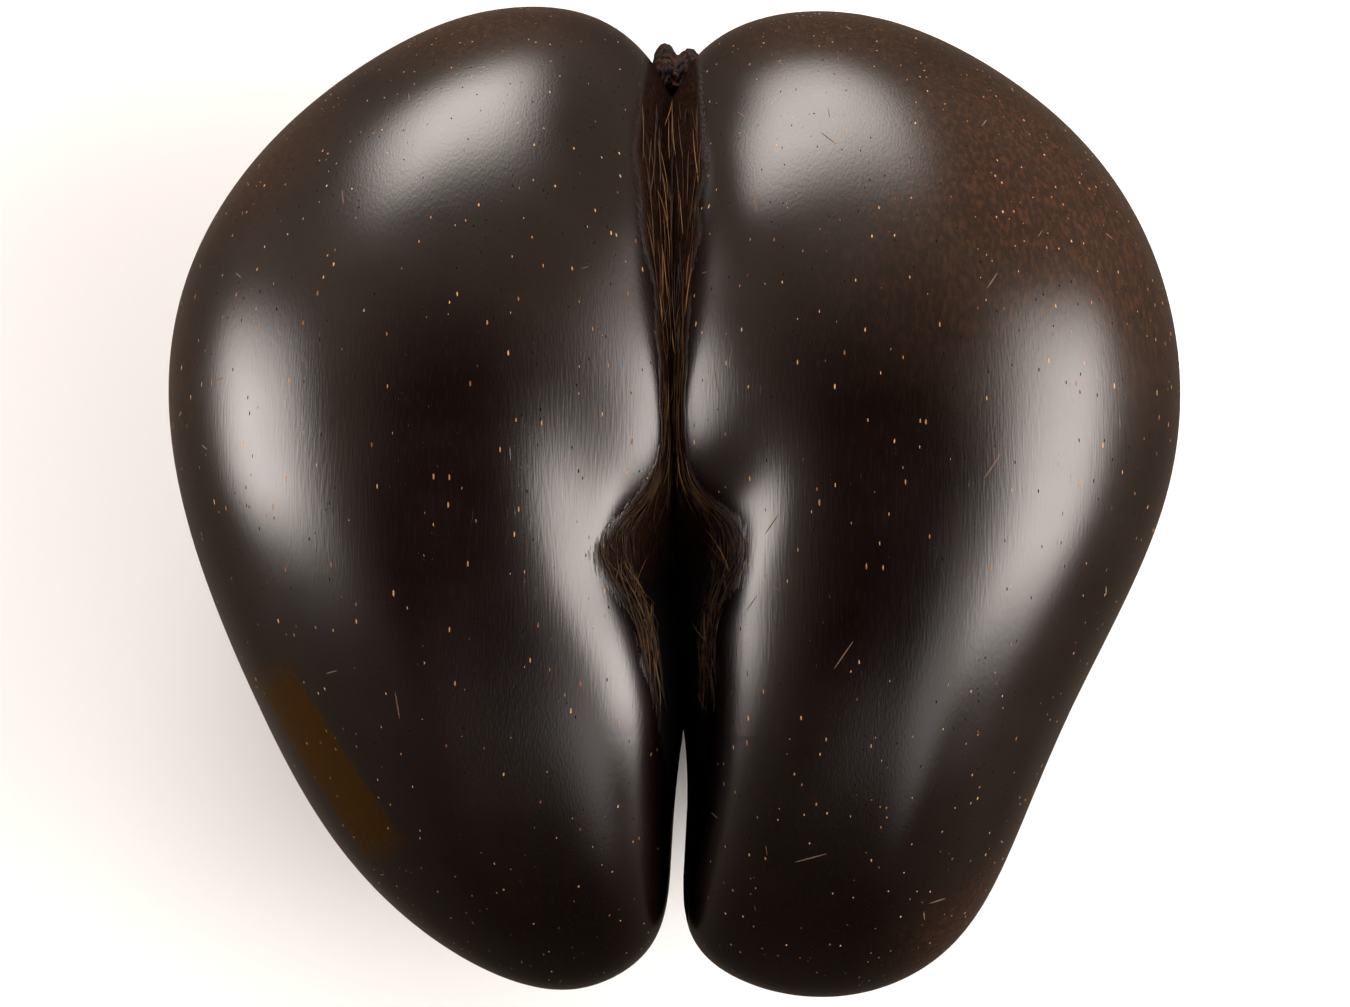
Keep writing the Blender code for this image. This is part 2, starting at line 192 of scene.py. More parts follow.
# The husk in the notch: two knobs with a furrow between them, lumpy in a few waves round and along it, and
# drawn in by coarse and fine clumps of fibre.
TUFT_SEED = 11
TUFT_WAVES = 5
WAVES_ROUND, WAVES_ALONG, WAVES_PHASE = (2, 6), (1.5, 4.0), (0, 6.28)
TUFT_CENTRE = (0.0006, 0.1235, 0.0790)
TUFT_HALF = (0.0086, 0.0124, 0.0210)
TUFT_SHORTER_BELOW = 0.65
TUFT_LUMPS = 0.05
TUFT_ROUGHNESS = 0.16
TUFT_MARGIN = 0.0002
TUFT_ROWS = 110
TUFT_STEPS = 130
FURROW_X = 0.0002
FURROW_DEPTH = 0.0040
FURROW_WIDTH = 0.0020
CLUMP_WIDTH = 0.0022
CLUMP_LENGTH = 0.0060
CLUMP_FINER = 2.7
CLUMP_COARSE, CLUMP_FINE = 0.5, 0.3
CLUMP_MEAN = 0.5

# Pattern sizes in metres, along X, Y and Z. The grain's own lines are about 0.1 mm wide, too fine to show, so
# it is drawn coarser.
GRAIN_SIZE = (0.0006, 0.0080, 0.0006)
GRAIN_RELIEF = 0.00004
CLOUD_SIZE = 0.0450
MOTTLE_SIZE = (0.0014, 0.0040, 0.0014)
FLECK_SIZE = (0.0022, 0.0085, 0.0022)
PORE_SIZE = (0.0026, 0.0080, 0.0026)
SCRATCH_SIZE = (0.0060, 0.2000, 0.0500)
SCRATCH_TURNS = (0.15, 0.9, -0.6, -1.3)
FIBRE_SIZE = (0.0007, 0.0090, 0.0007)
FIBRE_RELIEF = 0.0006
STRAND_SPOT = 0.0030
CRUMB_SIZE = (0.0009, 0.00225, 0.0009)
CRUMB_RELIEF = 0.0008
ROLLER_NAP = 0.0012
ROLLER_RELIEF = 0.00005

# The ranges in which a pattern's value turns from nothing to all, and the shares that it reaches.
CLOUD_RANGE = (0.35, 0.68)
GRAIN_RANGE, GRAIN_SHARE = (0.52, 0.80), 0.5
MOTTLE_RANGE, MOTTLE_SHARES = (0.45, 0.80), (0.14, 0.75)
WORN_CORE = 0.2
STAIN_RANGE = (1.55, 1.2)
STAIN_ROUNDING, STAIN_WAVES = 0.3, 0.6
BAND_RANGE, BAND_RAGGED = (0.46, 1.10), 0.7
FIBRE_RANGE = (0.38, 0.72)
STRAND_RANGE, STRAND_SPOTTED = (0.15, 1.1), 0.35
CRUMB_RANGE = (0.18, 0.5)
# A cell has a fleck if its chance is over the first where the polish is whole, and over the second where it
# is thin. Flecks, pores and scratches are as wide as these shares of their cells.
FLECK_CHANCES = (0.35, 0.05)
FLECK_RADII = (0.05, 0.12)
PORE_RADIUS = 0.075
SCRATCH_RADIUS = 0.030
PIT_DEPTH = -1.5
# How rough the marks and the unpolished band are, and how far the polish strays with the clouding.
MARK_ROUGHNESS, RAW_ROUGHNESS = 0.6, 0.7
GLOSS_RANGE, GLOSS_STRAYS = (0.3, 0.7), (-0.03, 0.05)
SHINE, DULL_SHINE = 0.5, 0.05

# Colours, and the places of the stain and of the worn spots, each a centre and a radius.
SHELL_DEEP = "#050100"
SHELL_STREAK = "#1a0b06"
FLECK_DULL = "#6e4020"
SCRATCH_COLOUR = "#5e4b3e"
RAW_DEEP = "#080301"
# Painted shade: the black of the cave between the lobes over the fork.
CAVE_SHADE_COLOUR = "#030101"
PORE_COLOUR = "#020101"
STAIN_COLOUR = "#2a1903"
STAIN_CENTRE = (-0.1000, -0.0755, 0.1250)
STAIN_TURN = (0.0, 0.0, 0.57)
STAIN_SIZE = (0.0060, 0.0280, 0.0900)
WORN_PLACES = (
    ((0.1050, 0.0850, 0.1200), 0.0950),
    ((0.0500, 0.1380, 0.1000), 0.0500),
    ((-0.0600, 0.1400, 0.1000), 0.0450),
    ((-0.1300, 0.0350, 0.0900), 0.0500),
    ((-0.1100, 0.0900, 0.1000), 0.0450),
    ((0.1300, 0.0000, 0.0800), 0.0450),
    ((0.0750, -0.1150, 0.1000), 0.0400),
)

# The stage: the middle of the nut, the floor, and the soft boxes, each with its direction in degrees round
# from +X and down from straight up, its width and height in metres and its power in watts. They grow
# dimmer towards their edges, over this share of their size.
MIDDLE = (0.0, 0.0, 0.0870)
FLOOR_HALF = 4.0
BOX_DISTANCE = 1.6
BOX_SOFT_EDGE = 0.4
SOFT_BOXES = {
    "left_box": (176, 78, 1.10, 1.80, 86),
    "right_box": (-1, 65, 1.95, 1.85, 150),
    "top_box": (100, 74, 1.70, 1.40, 98),
    "low_box": (-40, 42, 2.10, 1.50, 22),
}
LAMP_COLOUR = "#fff6f0"
SENSOR = 36.0
IMAGE_WIDTH = 1350
METRES_PER_PIXEL = 0.000295
VIEW_CENTRE = (0.00015, -0.00074, 0.0870)
# How the room that the shell reflects grows from dark to hazy: along which way, from where to where, and the
# least that it has.
ROOM_FADES = (("Z", (0.97, 0.72), 0.0), ("Y", (-1.4, 0.5), 0.0), ("Z", (-0.8, -0.1), 0.35))
ROOM_DARK = "#0b0b0c"
ROOM_HAZE = "#c5af9b"
ROOM_PALE = "#e4e4e2"


def spline(stations):
    """A natural cubic spline through {place: value}, as a function of the place."""
    knots = np.array(list(stations.keys()), dtype=float)
    values = np.array(list(stations.values()))
    gaps = np.diff(knots)
    slopes = np.diff(values) / gaps
    system = np.eye(len(knots))
    load = np.zeros(len(knots))
    for i in range(1, len(knots) - 1):
        system[i, i - 1 : i + 2] = gaps[i - 1], 2 * (gaps[i - 1] + gaps[i]), gaps[i]
        load[i] = 6 * (slopes[i] - slopes[i - 1])
    bends = np.linalg.solve(system, load)

    def at(place):
        place = np.clip(place, knots[0], knots[-1])
        i = np.clip(np.searchsorted(knots, place, side="right") - 1, 0, len(gaps) - 1)
        before, after, gap = place - knots[i], knots[i + 1] - place, gaps[i]
        straight = (values[i] * after + values[i + 1] * before) / gap
        curve = bends[i] * (after**3 / gap - after * gap) + bends[i + 1] * (before**3 / gap - before * gap)
        return straight + curve / 6

    return at


front_depth, back_depth = spline(FRONT_DEPTH), spline(BACK_DEPTH)
outer_squareness, back_squareness = spline(OUTER_SQUARENESS), spline(BACK_SQUARENESS)
forward_lean = spline(FORWARD_LEAN)
seam_line, cleft_depth, cleft_width = spline(SEAM_LINE), spline(CLEFT_DEPTH), spline(CLEFT_WIDTH)
raw_width = spline(RAW_WIDTH)


def ease(share):
    """0 up to 0, 1 from 1, and smooth between."""
    share = np.clip(share, 0, 1)
    return share * share * (3 - 2 * share)


def turning_point(test, still_false, now_true):
    """Where a test turns true between two places."""
    for _ in range(HALVINGS):
        middle = (still_false + now_true) / 2
        if test(middle):
            now_true = middle
        else:
            still_false = middle
    return now_true


class Lobe:
    """One half of the nut, before it is cut off at the seam."""

    def __init__(self, side, hump, tip, outward, inward, squareness):
        self.side, self.hump, self.tip = side, np.array(hump), np.array(tip)
        self.outward, self.inward = spline(outward), spline(inward)
        self.inner_squareness = spline(squareness)

    def angle_at(self, height):
        """The angle down the lobe of the ring at that height."""
        middle, half = (self.hump[1] + self.tip[1]) / 2, (self.hump[1] - self.tip[1]) / 2
        return math.degrees(math.acos(max(-1.0, min(1.0, (height - middle) / half))))

    def ring(self, angle):
        """The ring at that angle: its height, its sides and middle along X, its depths and squareness."""
        swell = math.sin(math.radians(angle))
        middle, height = self.hump + (self.tip - self.hump) * (1 - math.cos(math.radians(angle))) / 2
        outer = middle + self.side * self.outward(angle) * swell
        inner = middle - self.side * self.inward(angle) * swell
        return {
            "height": height,
            "inner": inner,
            "middle": (outer + inner) / 2,
            "half": abs(outer - inner) / 2,
            "front": front_depth(angle) * swell,
            "back": back_depth(angle) * swell,
            "square": (self.inner_squareness(angle), outer_squareness(angle), back_squareness(angle)),
            "lean": forward_lean(height),
        }

    def outline(self, ring, turn):
        """The ring's x and z, with turn going from its inner side over the front to the back."""
        across, out = np.cos(turn), np.sin(turn)
        inner, outer, back = ring["square"]
        square = outer + (np.where(out > 0, inner, back) - outer) * ease(across + SIDE_BLEND)
        reach = (np.abs(across) ** square + np.abs(out) ** square) ** (-1 / square)
        x = ring["middle"] - self.side * ring["half"] * across * reach
        depth = (ring["front"] + ring["back"]) / 2 + (ring["front"] - ring["back"]) / 2 * out
        return x, ring["lean"] + depth * out * reach

    def turn_at(self, ring, x, way):
        """How far round from its inner side the ring comes to x, over the front, or behind with way -1."""
        def past(turn):
            return self.side * (self.outline(ring, way * turn)[0] - x) > 0

        return turning_point(past, 0.0, math.pi / 2)


def carving(x, y, seam_x):
    """How deep the front is cut at x and y."""
    off = x - seam_x
    cut = cleft_depth(y) * np.exp(-((off / cleft_width(y)) ** 2))
    cut = cut + HOLLOW_DEPTH * np.exp(-((off / HOLLOW_WIDTH) ** 4) - ((y - HOLLOW_Y) / HOLLOW_HEIGHT) ** 2)
    for fold in FOLDS:
        start, end = np.array(fold["start"]), np.array(fold["end"])
        length = np.linalg.norm(end - start)
        along_x, along_y = (end - start) / length
        along = ((x - start[0]) * along_x + (y - start[1]) * along_y) / length
        aside = (x - start[0]) * along_y - (y - start[1]) * along_x
        past, before = np.clip(along, 0, None) / FOLD_FADES[0], np.clip(along, None, 0) / FOLD_FADES[1]
        fade = np.exp(-(past**2) - before**2)
        cut = cut + fold["depth"] * fade * np.exp(-((aside / fold["width"]) ** 2))
    return cut


class Nut:
    """Both lobes and the seam between them."""

    def __init__(self):
        self.lobes = [Lobe(**LEFT_LOBE), Lobe(**RIGHT_LOBE)]
        self.notch = turning_point(self.touching, 0.140, 0.050)
        self.fork = turning_point(self.touching, -0.120, -0.020)
        self.seams = {}

    def touching(self, height):
        left, right = (lobe.ring(lobe.angle_at(height))["inner"] for lobe in self.lobes)
        return left > right

    def seam_at(self, height):
        """Where the lobes cross at that height, as (x, z), in front and behind."""
        height = round(min(self.notch, max(self.fork, height)), 9)
        if height not in self.seams:
            rings = [lobe.ring(lobe.angle_at(height)) for lobe in self.lobes]
            self.seams[height] = [self.crossing(rings, way) for way in (1, -1)]
        return self.seams[height]

    def crossing(self, rings, way):
        """The (x, z) where the rings cross over the front, with way 1, or behind, with way -1."""
        if rings[0]["inner"] - rings[1]["inner"] < HAIR:
            return np.mean([(ring["inner"], ring["lean"]) for ring in rings], axis=0)
        turns = way * np.linspace(0, np.pi / 2, CROSSING_STEPS)
        left, right = zip(self.lobes, rings)
        left_x, left_z = left[0].outline(left[1], turns)
        right_x, right_z = right[0].outline(right[1], turns)
        shared_x = np.linspace(rings[1]["inner"], rings[0]["inner"], CROSSING_STEPS)
        over = np.interp(shared_x, left_x[::-1], left_z[::-1]) - np.interp(shared_x, right_x, right_z)
        x = np.interp(0.0, -way * over, shared_x)
        heights = [lobe.outline(ring, way * lobe.turn_at(ring, x, way))[1] for lobe, ring in (left, right)]
        return x, np.mean(heights)

    def inside(self, height):
        """How far a height is from the nearer end of the seam, and less than 0 past it."""
        return min(height - self.fork, self.notch - height)

    def drawn_x(self, height):
        """The x of the seam's front at that height."""
        crossing_x = self.seam_at(height)[0][0]
        return crossing_x + (seam_line(height) - crossing_x) * ease(self.inside(height) / SPREAD_FADE)

    def row(self, lobe, angle, shares):
        """Points round the lobe's ring at that angle, at shares of the way from its inner side and back."""
        ring = lobe.ring(angle)
        height = ring["height"]
        (front_x, front_z), (back_x, back_z) = self.seam_at(height)
        drawn_x, inside = self.drawn_x(height), self.inside(height)
        start = lobe.turn_at(ring, front_x, 1) if inside > HAIR else 0.0
        end = lobe.turn_at(ring, back_x, -1) if inside > HAIR else 0.0
        spread = ease(inside / SPREAD_FADE)
        turn = start * spread + (2 * np.pi - (start + end) * spread) * shares
        turn = np.clip(turn, start, 2 * np.pi - end)
        x, z = lobe.outline(ring, turn)
        if inside > -HAIR:
            in_front = turn <= np.pi
            seam_x = np.where(in_front, front_x, back_x)
            near = np.exp(-(((x - seam_x) / SEAM_EASE) ** 2))
            z = z + np.where(in_front, front_z - z[0], back_z - z[-1]) * near
            x = np.where((turn <= start) | (turn >= 2 * np.pi - end), seam_x, x)
            x = x + np.where(in_front, drawn_x - front_x, 0) * near
        z = z - carving(x, height, drawn_x) * ease(z / CARVED_FROM)
        return np.column_stack([x, np.full_like(x, height), z])


NUT = Nut()


def seam_x_at(height):
    """The x of the seam's front at that height."""
    return np.interp(height, SEAM_HEIGHTS, SEAM_X)


SEAM_HEIGHTS = np.linspace(NUT.fork, NUT.notch, SEAM_ROWS)
SEAM_X = [NUT.drawn_x(height) for height in SEAM_HEIGHTS]


def crowded(steps):
    """Shares from 0 to 1 that lie closer together towards both ends."""
    share = np.linspace(0, 1, steps + 1)
    return share - RING_CROWDING * np.sin(2 * np.pi * share) / (2 * np.pi)


def row_angles(lobe):
    """The angles of the lobe's rings, from hump to tip, with the same heights in both along the seam."""
    humps = np.linspace(0, lobe.angle_at(NUT.notch), HUMP_ROWS + 1)[1:-1]
    shares = (1 - np.cos(np.pi * np.linspace(0, 1, SEAM_ROWS + 1))) / 2
    seams = [lobe.angle_at(NUT.notch + (NUT.fork - NUT.notch) * share) for share in shares]
    tips = np.linspace(lobe.angle_at(NUT.fork), 180, TIP_ROWS + 1)[1:-1]
    return [*humps, *seams, *tips]


def rawness(points):
    """For a row of points, 1 where the shell was left unpolished, down to 0 where it is polished."""
    seam_x = seam_x_at(points[0, 1])
    width = raw_width(points[0, 1]) * np.where(points[:, 2] > 0, 1.0, RAW_BEHIND)
    left, right = (noise.noise(Vector((points[0, 1] / RAW_WAVE, side, 0))) for side in RAW_SIDE_WAVES)
    width *= 1 + RAW_WANDER * np.where(points[:, 0] < seam_x, left, right)
    return 1 - ease((np.abs(points[:, 0] - seam_x) / width - RAW_EDGE) / RAW_EDGE)


def cave(points, side):
    """For a row of the lobe on that side, how far each point is into the cave, from 0 to 1, as its share of
    painted shade.
    """
    high = ease((CAVE_HIGH - points[0, 1]) / CAVE_HIGH_FADE)
    middle = (points[:, 0].min() + points[:, 0].max()) / 2
    inward = ease(side * (middle - points[:, 0]) / CAVE_SIDE_FADE)
    return high * inward * ease((points[:, 2].max() - points[:, 2] - CAVE_DEPTH) / CAVE_DEPTH_FADE)


def suture(points):
    """How deep the hairline crack along the seam is, for a row of points."""
    height = points[0, 1]
    seam_x = seam_x_at(height)
    fade = ease((height - SUTURE_LOW) / SUTURE_FADE) * ease((SUTURE_HIGH - height) / SUTURE_FADE)
    in_front = ease(points[:, 2] / CARVED_FROM)
    return SUTURE_DEPTH * fade * in_front * np.exp(-(((points[:, 0] - seam_x) / SUTURE_WIDTH) ** 2))


class Skin:
    """Points, the values of each, and faces of a closed surface, in which equal points are one."""

    DECIMALS = 7

    def __init__(self):
        self.points, self.values, self.faces, self.index = [], [], [], {}

    def point(self, place, value):
        key = tuple(np.round(place, self.DECIMALS))
        if key not in self.index:
            self.index[key] = len(self.points)
            self.points.append(place)
            self.values.append(value)
        return self.index[key]

    def wrap(self, first_pole, rows, last_pole, turned):
        """Faces from pole to pole over the rows, all of them (place, value). turned reverses them."""
        rows = [[self.point(*corner) for corner in row] for row in rows]
        first, last = self.point(*first_pole), self.point(*last_pole)
        rows = [[first] * len(rows[0])] + rows + [[last] * len(rows[0])]
        for upper, lower in zip(rows, rows[1:]):
            for j in range(len(upper) - 1):
                corners = [upper[j], lower[j], lower[j + 1], upper[j + 1]]
                corners = [corner for k, corner in enumerate(corners) if corner != corners[k - 1]]
                if len(corners) > 2:
                    self.faces.append(corners[::-1] if turned else corners)


def shell_skin():
    """The smooth nut in its frame, with the rawness of each point and how much painted shade it takes in the
    cave.
    """
    skin = Skin()
    shares = crowded(RING_STEPS)
    for lobe in NUT.lobes:
        rows = []
        for angle in row_angles(lobe):
            points = NUT.row(lobe, angle, shares)
            points[:, 2] -= suture(points)
            # Each point's rawness, and how much painted shade it takes in the cave.
            rows.append(list(zip(points, zip(rawness(points), cave(points, lobe.side)))))
        hump = ((*lobe.hump, forward_lean(lobe.hump[1])), (0.0, 0.0))
        tip = ((*lobe.tip, forward_lean(lobe.tip[1])), (0.0, 0.0))
        skin.wrap(hump, rows, tip, lobe.side < 0)
    points = np.array(skin.points)
    low, high = points.min(axis=0), points.max(axis=0)
    skin.shift = np.array([(low[0] + high[0]) / 2, (low[1] + high[1]) / 2, low[2] + FLAT_DEPTH])
    points -= skin.shift
    points[:, 2] = np.maximum(points[:, 2], 0)
    points *= np.minimum(1, NUT_HIGH / points.max(axis=0))
    skin.points, skin.values = points, np.array(skin.values)
    return skin


SHELL = shell_skin()
SURFACE = BVHTree.FromPolygons([Vector(place) for place in SHELL.points], SHELL.faces)


def add_piece(name, points, faces, values, look):
    """A smooth mesh object with named values for each point, which its material reads."""
    mesh = bpy.data.meshes.new(name)
    mesh.from_pydata([tuple(place) for place in points], [], faces)
    for value_name, numbers in values.items():
        layer = mesh.attributes.new(value_name, "FLOAT", "POINT")
        layer.data.foreach_set("value", np.array(numbers, dtype=np.float32))
    mesh.shade_smooth()
    mesh.materials.append(look)
    piece = bpy.data.objects.new(name, mesh)
    bpy.context.scene.collection.objects.link(piece)
    return piece


def normals_of(mesh):
    normals = np.empty(len(mesh.vertices) * 3, dtype=np.float32)
    mesh.vertex_normals.foreach_get("vector", normals)
    return normals.reshape(-1, 3)


def sink_between_fibres(piece, values, depth):
    """Presses the unpolished skin in, in long streaks, and never outwards."""
    normals = normals_of(piece.data)
    for i in np.flatnonzero(values > RAW_ENOUGH):
        place = piece.data.vertices[i].co
        streak = Vector((place.x / STREAK_WIDTH, place.y / STREAK_LENGTH, place.z / STREAK_WIDTH))
        sunk = STREAK_MEAN + STREAK_MEAN * noise.noise(streak)
        sunk += STREAK_WEAKER * noise.noise(streak * STREAK_FINER)
        place -= Vector(normals[i]) * depth * values[i] * max(0.0, sunk)


def on_the_skin(height, share, side):
    """The point and normal of the shell's front at that height, share of the unpolished band off the seam."""
    x = seam_x_at(height) + side * share * raw_width(height) - SHELL.shift[0]
    place, normal, _, _ = SURFACE.ray_cast(Vector((x, height - SHELL.shift[1], 1.0)), Vector((0, 0, -1)))
    return place, normal


def spindle(path, radius, points, faces):
    """Adds a three-sided strand that tapers to a point at both ends."""
    path = np.array(path)
    along = np.gradient(path, axis=0)
    along /= np.linalg.norm(along, axis=1)[:, None]
    across = np.cross(along, ASKEW)
    across /= np.linalg.norm(across, axis=1)[:, None]
    over = np.cross(along, across)
    first = len(points)
    points.append(path[0])
    for i in range(1, len(path) - 1):
        size = radius * math.sin(math.pi * i / (len(path) - 1)) ** STRAND_TAPER
        for j in range(STRAND_SIDES):
            turn = 2 * math.pi * j / STRAND_SIDES
            points.append(path[i] + size * (math.cos(turn) * across[i] + math.sin(turn) * over[i]))
    points.append(path[-1])
    last = len(points) - 1
    for j in range(STRAND_SIDES):
        following = (j + 1) % STRAND_SIDES
        for upper in range(first + 1, last - STRAND_SIDES, STRAND_SIDES):
            lower = upper + STRAND_SIDES
            faces.append((upper + j, upper + following, lower + following, lower + j))
        faces.append((first, first + 1 + following, first + 1 + j))
        faces.append((last, last - STRAND_SIDES + j, last - STRAND_SIDES + following))


def tuft_skin():
    """The husk that is left in the notch: two rough knobs of packed fibre with a furrow between them."""
    draw = np.random.default_rng(TUFT_SEED)
    waves = [
        (draw.integers(*WAVES_ROUND), draw.uniform(*WAVES_ALONG), draw.uniform(*WAVES_PHASE))
        for _ in range(TUFT_WAVES)
    ]
    turn = np.linspace(0, 2 * np.pi, TUFT_STEPS + 1)
    rows = []
    for share in np.linspace(0, 1, TUFT_ROWS + 1)[1:-1]:
        length = -math.cos(math.pi * share)
        swell = math.sqrt(1 - length**2)
        lumps = sum(np.sin(round_ * turn + along * 2 * length + phase) for round_, along, phase in waves)
        size = swell * (1 + TUFT_LUMPS * lumps)
        x = TUFT_HALF[0] * np.cos(turn) * size
        y = TUFT_HALF[1] * np.sin(turn) * size
        furrow = FURROW_DEPTH * swell * np.exp(-(((x - FURROW_X) / FURROW_WIDTH) ** 2))
        y = np.where(y > 0, y - np.minimum(furrow, y), y * TUFT_SHORTER_BELOW)
        z = np.full_like(x, TUFT_HALF[2] * length)
        rows.append(np.column_stack([x, y, z]))
    skin = Skin()
    rows = [[rough_point(place) for place in row[:-1]] for row in rows]
    ends = [rough_point(np.array([0, 0, end * TUFT_HALF[2]])) for end in (-1, 1)]
    skin.wrap(ends[0], [[*row, row[0]] for row in rows], ends[1], True)
    low, high = TUFT_LOW + TUFT_MARGIN, TUFT_HIGH - TUFT_MARGIN
    skin.points = np.clip(np.array(skin.points) + TUFT_CENTRE, low, high)
    return skin


def rough_point(place):
    """The place drawn in by coarse and fine fibre clumps, and how brown it is there."""
    clump = Vector((place[0] / CLUMP_WIDTH, place[1] / CLUMP_LENGTH, place[2] / CLUMP_WIDTH))
    pulled = CLUMP_COARSE * noise.noise(clump) + CLUMP_FINE * noise.noise(clump * CLUMP_FINER)
    return place * (1 - TUFT_ROUGHNESS * (CLUMP_MEAN + pulled)), CLUMP_MEAN + pulled


def linear(code):
    """An sRGB hex colour as the linear colour that shaders take."""
    parts = [int(code[i : i + 2], 16) / 255 for i in (1, 3, 5)]
    return (*(part / 12.92 if part <= 0.04045 else ((part + 0.055) / 1.055) ** 2.4 for part in parts), 1.0)


def node(tree, kind, inputs=None, **settings):
    """Adds a node with its settings, sets or links each input, and returns its outputs."""
    made = tree.nodes.new(kind)
    for name, value in settings.items():
        setattr(made, name, value)
    for socket, value in (inputs or {}).items():
        if isinstance(value, bpy.types.NodeSocket):
            tree.links.new(value, made.inputs[socket])
        else:
            made.inputs[socket].default_value = value
    return made.outputs


def new_material(name):
    """A new material, its node tree and its surface shader."""
    made = bpy.data.materials.new(name)
    made.use_nodes = True
    return made, made.node_tree, made.node_tree.nodes["Principled BSDF"]


def drive(tree, shader, inputs):
    """Sets or links the shader's own sockets."""
    for socket, value in inputs.items():
        if isinstance(value, bpy.types.NodeSocket):
            tree.links.new(value, shader.inputs[socket])
        else:
            shader.inputs[socket].default_value = value


# The Mix node has a set of sockets for each kind of data. These are the ones for colours and for numbers.
SHARE, COLOUR_A, COLOUR_B, COLOUR_OUT = 0, 6, 7, 2
NUMBER_A, NUMBER_B, NUMBER_OUT = 2, 3, 0


def polished_shell(look):
    """Palm nut shell, scraped, sanded and polished by hand.

    A hard, very dark brown skin with a soft gloss. The grain shows as fine streaks along Y, the polish has
    cut through to tan fibre ends here and there, and it thins out to a warmer brown over the shoulders.
    Handling left hair scratches. Along the seam the skin was never scraped, and is dull, brown and fibrous.
    Deep in the cave over the fork, shade is painted on in black, and the shine is taken out.
    """
    made, tree, shader = new_material("polished_palm_nut_shell")
    place = node(tree, "ShaderNodeTexCoord")["Object"]
    raw = node(tree, "ShaderNodeAttribute", attribute_name="raw")["Fac"]
    # How much painted shade each point takes, deep in the cave.
    dark = node(tree, "ShaderNodeAttribute", attribute_name="cave")["Fac"]
    cloud = node(tree, "ShaderNodeTexNoise", {"Vector": place, "Scale": 1 / CLOUD_SIZE, "Detail": 5.0})[0]
    patterns = []
    for kind, size, more in (
        ("ShaderNodeTexNoise", GRAIN_SIZE, {"Detail": 3.0}),
        ("ShaderNodeTexNoise", MOTTLE_SIZE, {"Detail": 6.0}),
        ("ShaderNodeTexNoise", FIBRE_SIZE, {"Detail": 4.0}),
        ("ShaderNodeTexVoronoi", FLECK_SIZE, {}),
        ("ShaderNodeTexVoronoi", PORE_SIZE, {}),
    ):
        stretched = {"Vector": place, "Scale": [1 / side for side in size]}
        stretched = node(tree, "ShaderNodeMapping", stretched)[0]
        patterns.append(node(tree, kind, {"Vector": stretched, "Scale": 1.0, **more}))
    grain, mottle, fibre = (pattern[0] for pattern in patterns[:3])
    flecks, pores = patterns[3:]

    # The ground is clouded, with the grain over it, and the dry skin is browner along its fibres.
    shares = []
    for value, (low, high), most in (
        (cloud, CLOUD_RANGE, 1.0), (grain, GRAIN_RANGE, GRAIN_SHARE), (fibre, FIBRE_RANGE, 1.0),
    ):
        share = {"Value": value, "From Min": low, "From Max": high, "To Max": most}
        shares.append(node(tree, "ShaderNodeMapRange", share)[0])
    clouding, streak, browner = shares

    # Where the polish has worn thin, warm brown shows through in fine mottling.
    worn = 0.0
    for centre, radius in WORN_PLACES:
        gap = node(tree, "ShaderNodeVectorMath", {0: place, 1: centre}, operation="DISTANCE")["Value"]
        near = {"Value": gap, "From Min": radius, "From Max": WORN_CORE * radius}
        near = node(tree, "ShaderNodeMapRange", near, interpolation_type="SMOOTHSTEP")[0]
        worn = node(tree, "ShaderNodeMath", {0: worn, 1: near}, operation="MAXIMUM")[0]
    patchy = {"Value": mottle, "From Min": MOTTLE_RANGE[0], "From Max": MOTTLE_RANGE[1]}
    patchy.update({"To Min": MOTTLE_SHARES[0], "To Max": MOTTLE_SHARES[1]})
    patchy = node(tree, "ShaderNodeMapRange", patchy)[0]
    showing = node(tree, "ShaderNodeMath", {0: worn, 1: patchy}, operation="MULTIPLY")[0]

    # One longer stain of olive brown, low on the left, with wavy edges.
    stain = {"Vector": place, "Location": STAIN_CENTRE, "Rotation": STAIN_TURN, "Scale": STAIN_SIZE}
    stain = node(tree, "ShaderNodeMapping", stain, vector_type="TEXTURE")[0]
    stain = node(tree, "ShaderNodeSeparateXYZ", {0: stain})
    across, along = (node(tree, "ShaderNodeMath", {0: stain[i]}, operation="ABSOLUTE")[0] for i in (0, 1))
    stain = node(tree, "ShaderNodeMath", {0: across, 1: along, 2: STAIN_ROUNDING}, operation="SMOOTH_MAX")[0]
    stain = node(tree, "ShaderNodeMath", {0: mottle, 1: STAIN_WAVES, 2: stain}, operation="MULTIPLY_ADD")[0]
    stain = {"Value": stain, "From Min": STAIN_RANGE[0], "From Max": STAIN_RANGE[1]}
    stain = node(tree, "ShaderNodeMapRange", stain)[0]

    # Tan fibre ends: slim upright flecks, in some cells only, and more of them where the polish is thin.
    chance = node(tree, "ShaderNodeSeparateColor", {0: flecks["Color"]})
    least = {"Value": worn, "To Min": FLECK_CHANCES[0], "To Max": FLECK_CHANCES[1]}
    least = node(tree, "ShaderNodeMapRange", least)[0]
    chosen = node(tree, "ShaderNodeMath", {0: chance[0], 1: least}, operation="GREATER_THAN")[0]
    radius = {"Value": chance[1], "To Min": FLECK_RADII[0], "To Max": FLECK_RADII[1]}
    radius = node(tree, "ShaderNodeMapRange", radius)[0]
    inside = node(tree, "ShaderNodeMath", {0: flecks["Distance"], 1: radius}, operation="LESS_THAN")[0]
    fleck = node(tree, "ShaderNodeMath", {0: chosen, 1: inside}, operation="MULTIPLY")[0]
    tan = {SHARE: chance[2], COLOUR_A: linear(FLECK_DULL), COLOUR_B: look.fleck_colour}
    tan = node(tree, "ShaderNodeMix", tan, data_type="RGBA")[COLOUR_OUT]

    # Open pores, dark and a fraction of a millimetre wide.
    pore = node(tree, "ShaderNodeMath", {0: pores["Distance"], 1: PORE_RADIUS}, operation="LESS_THAN")[0]

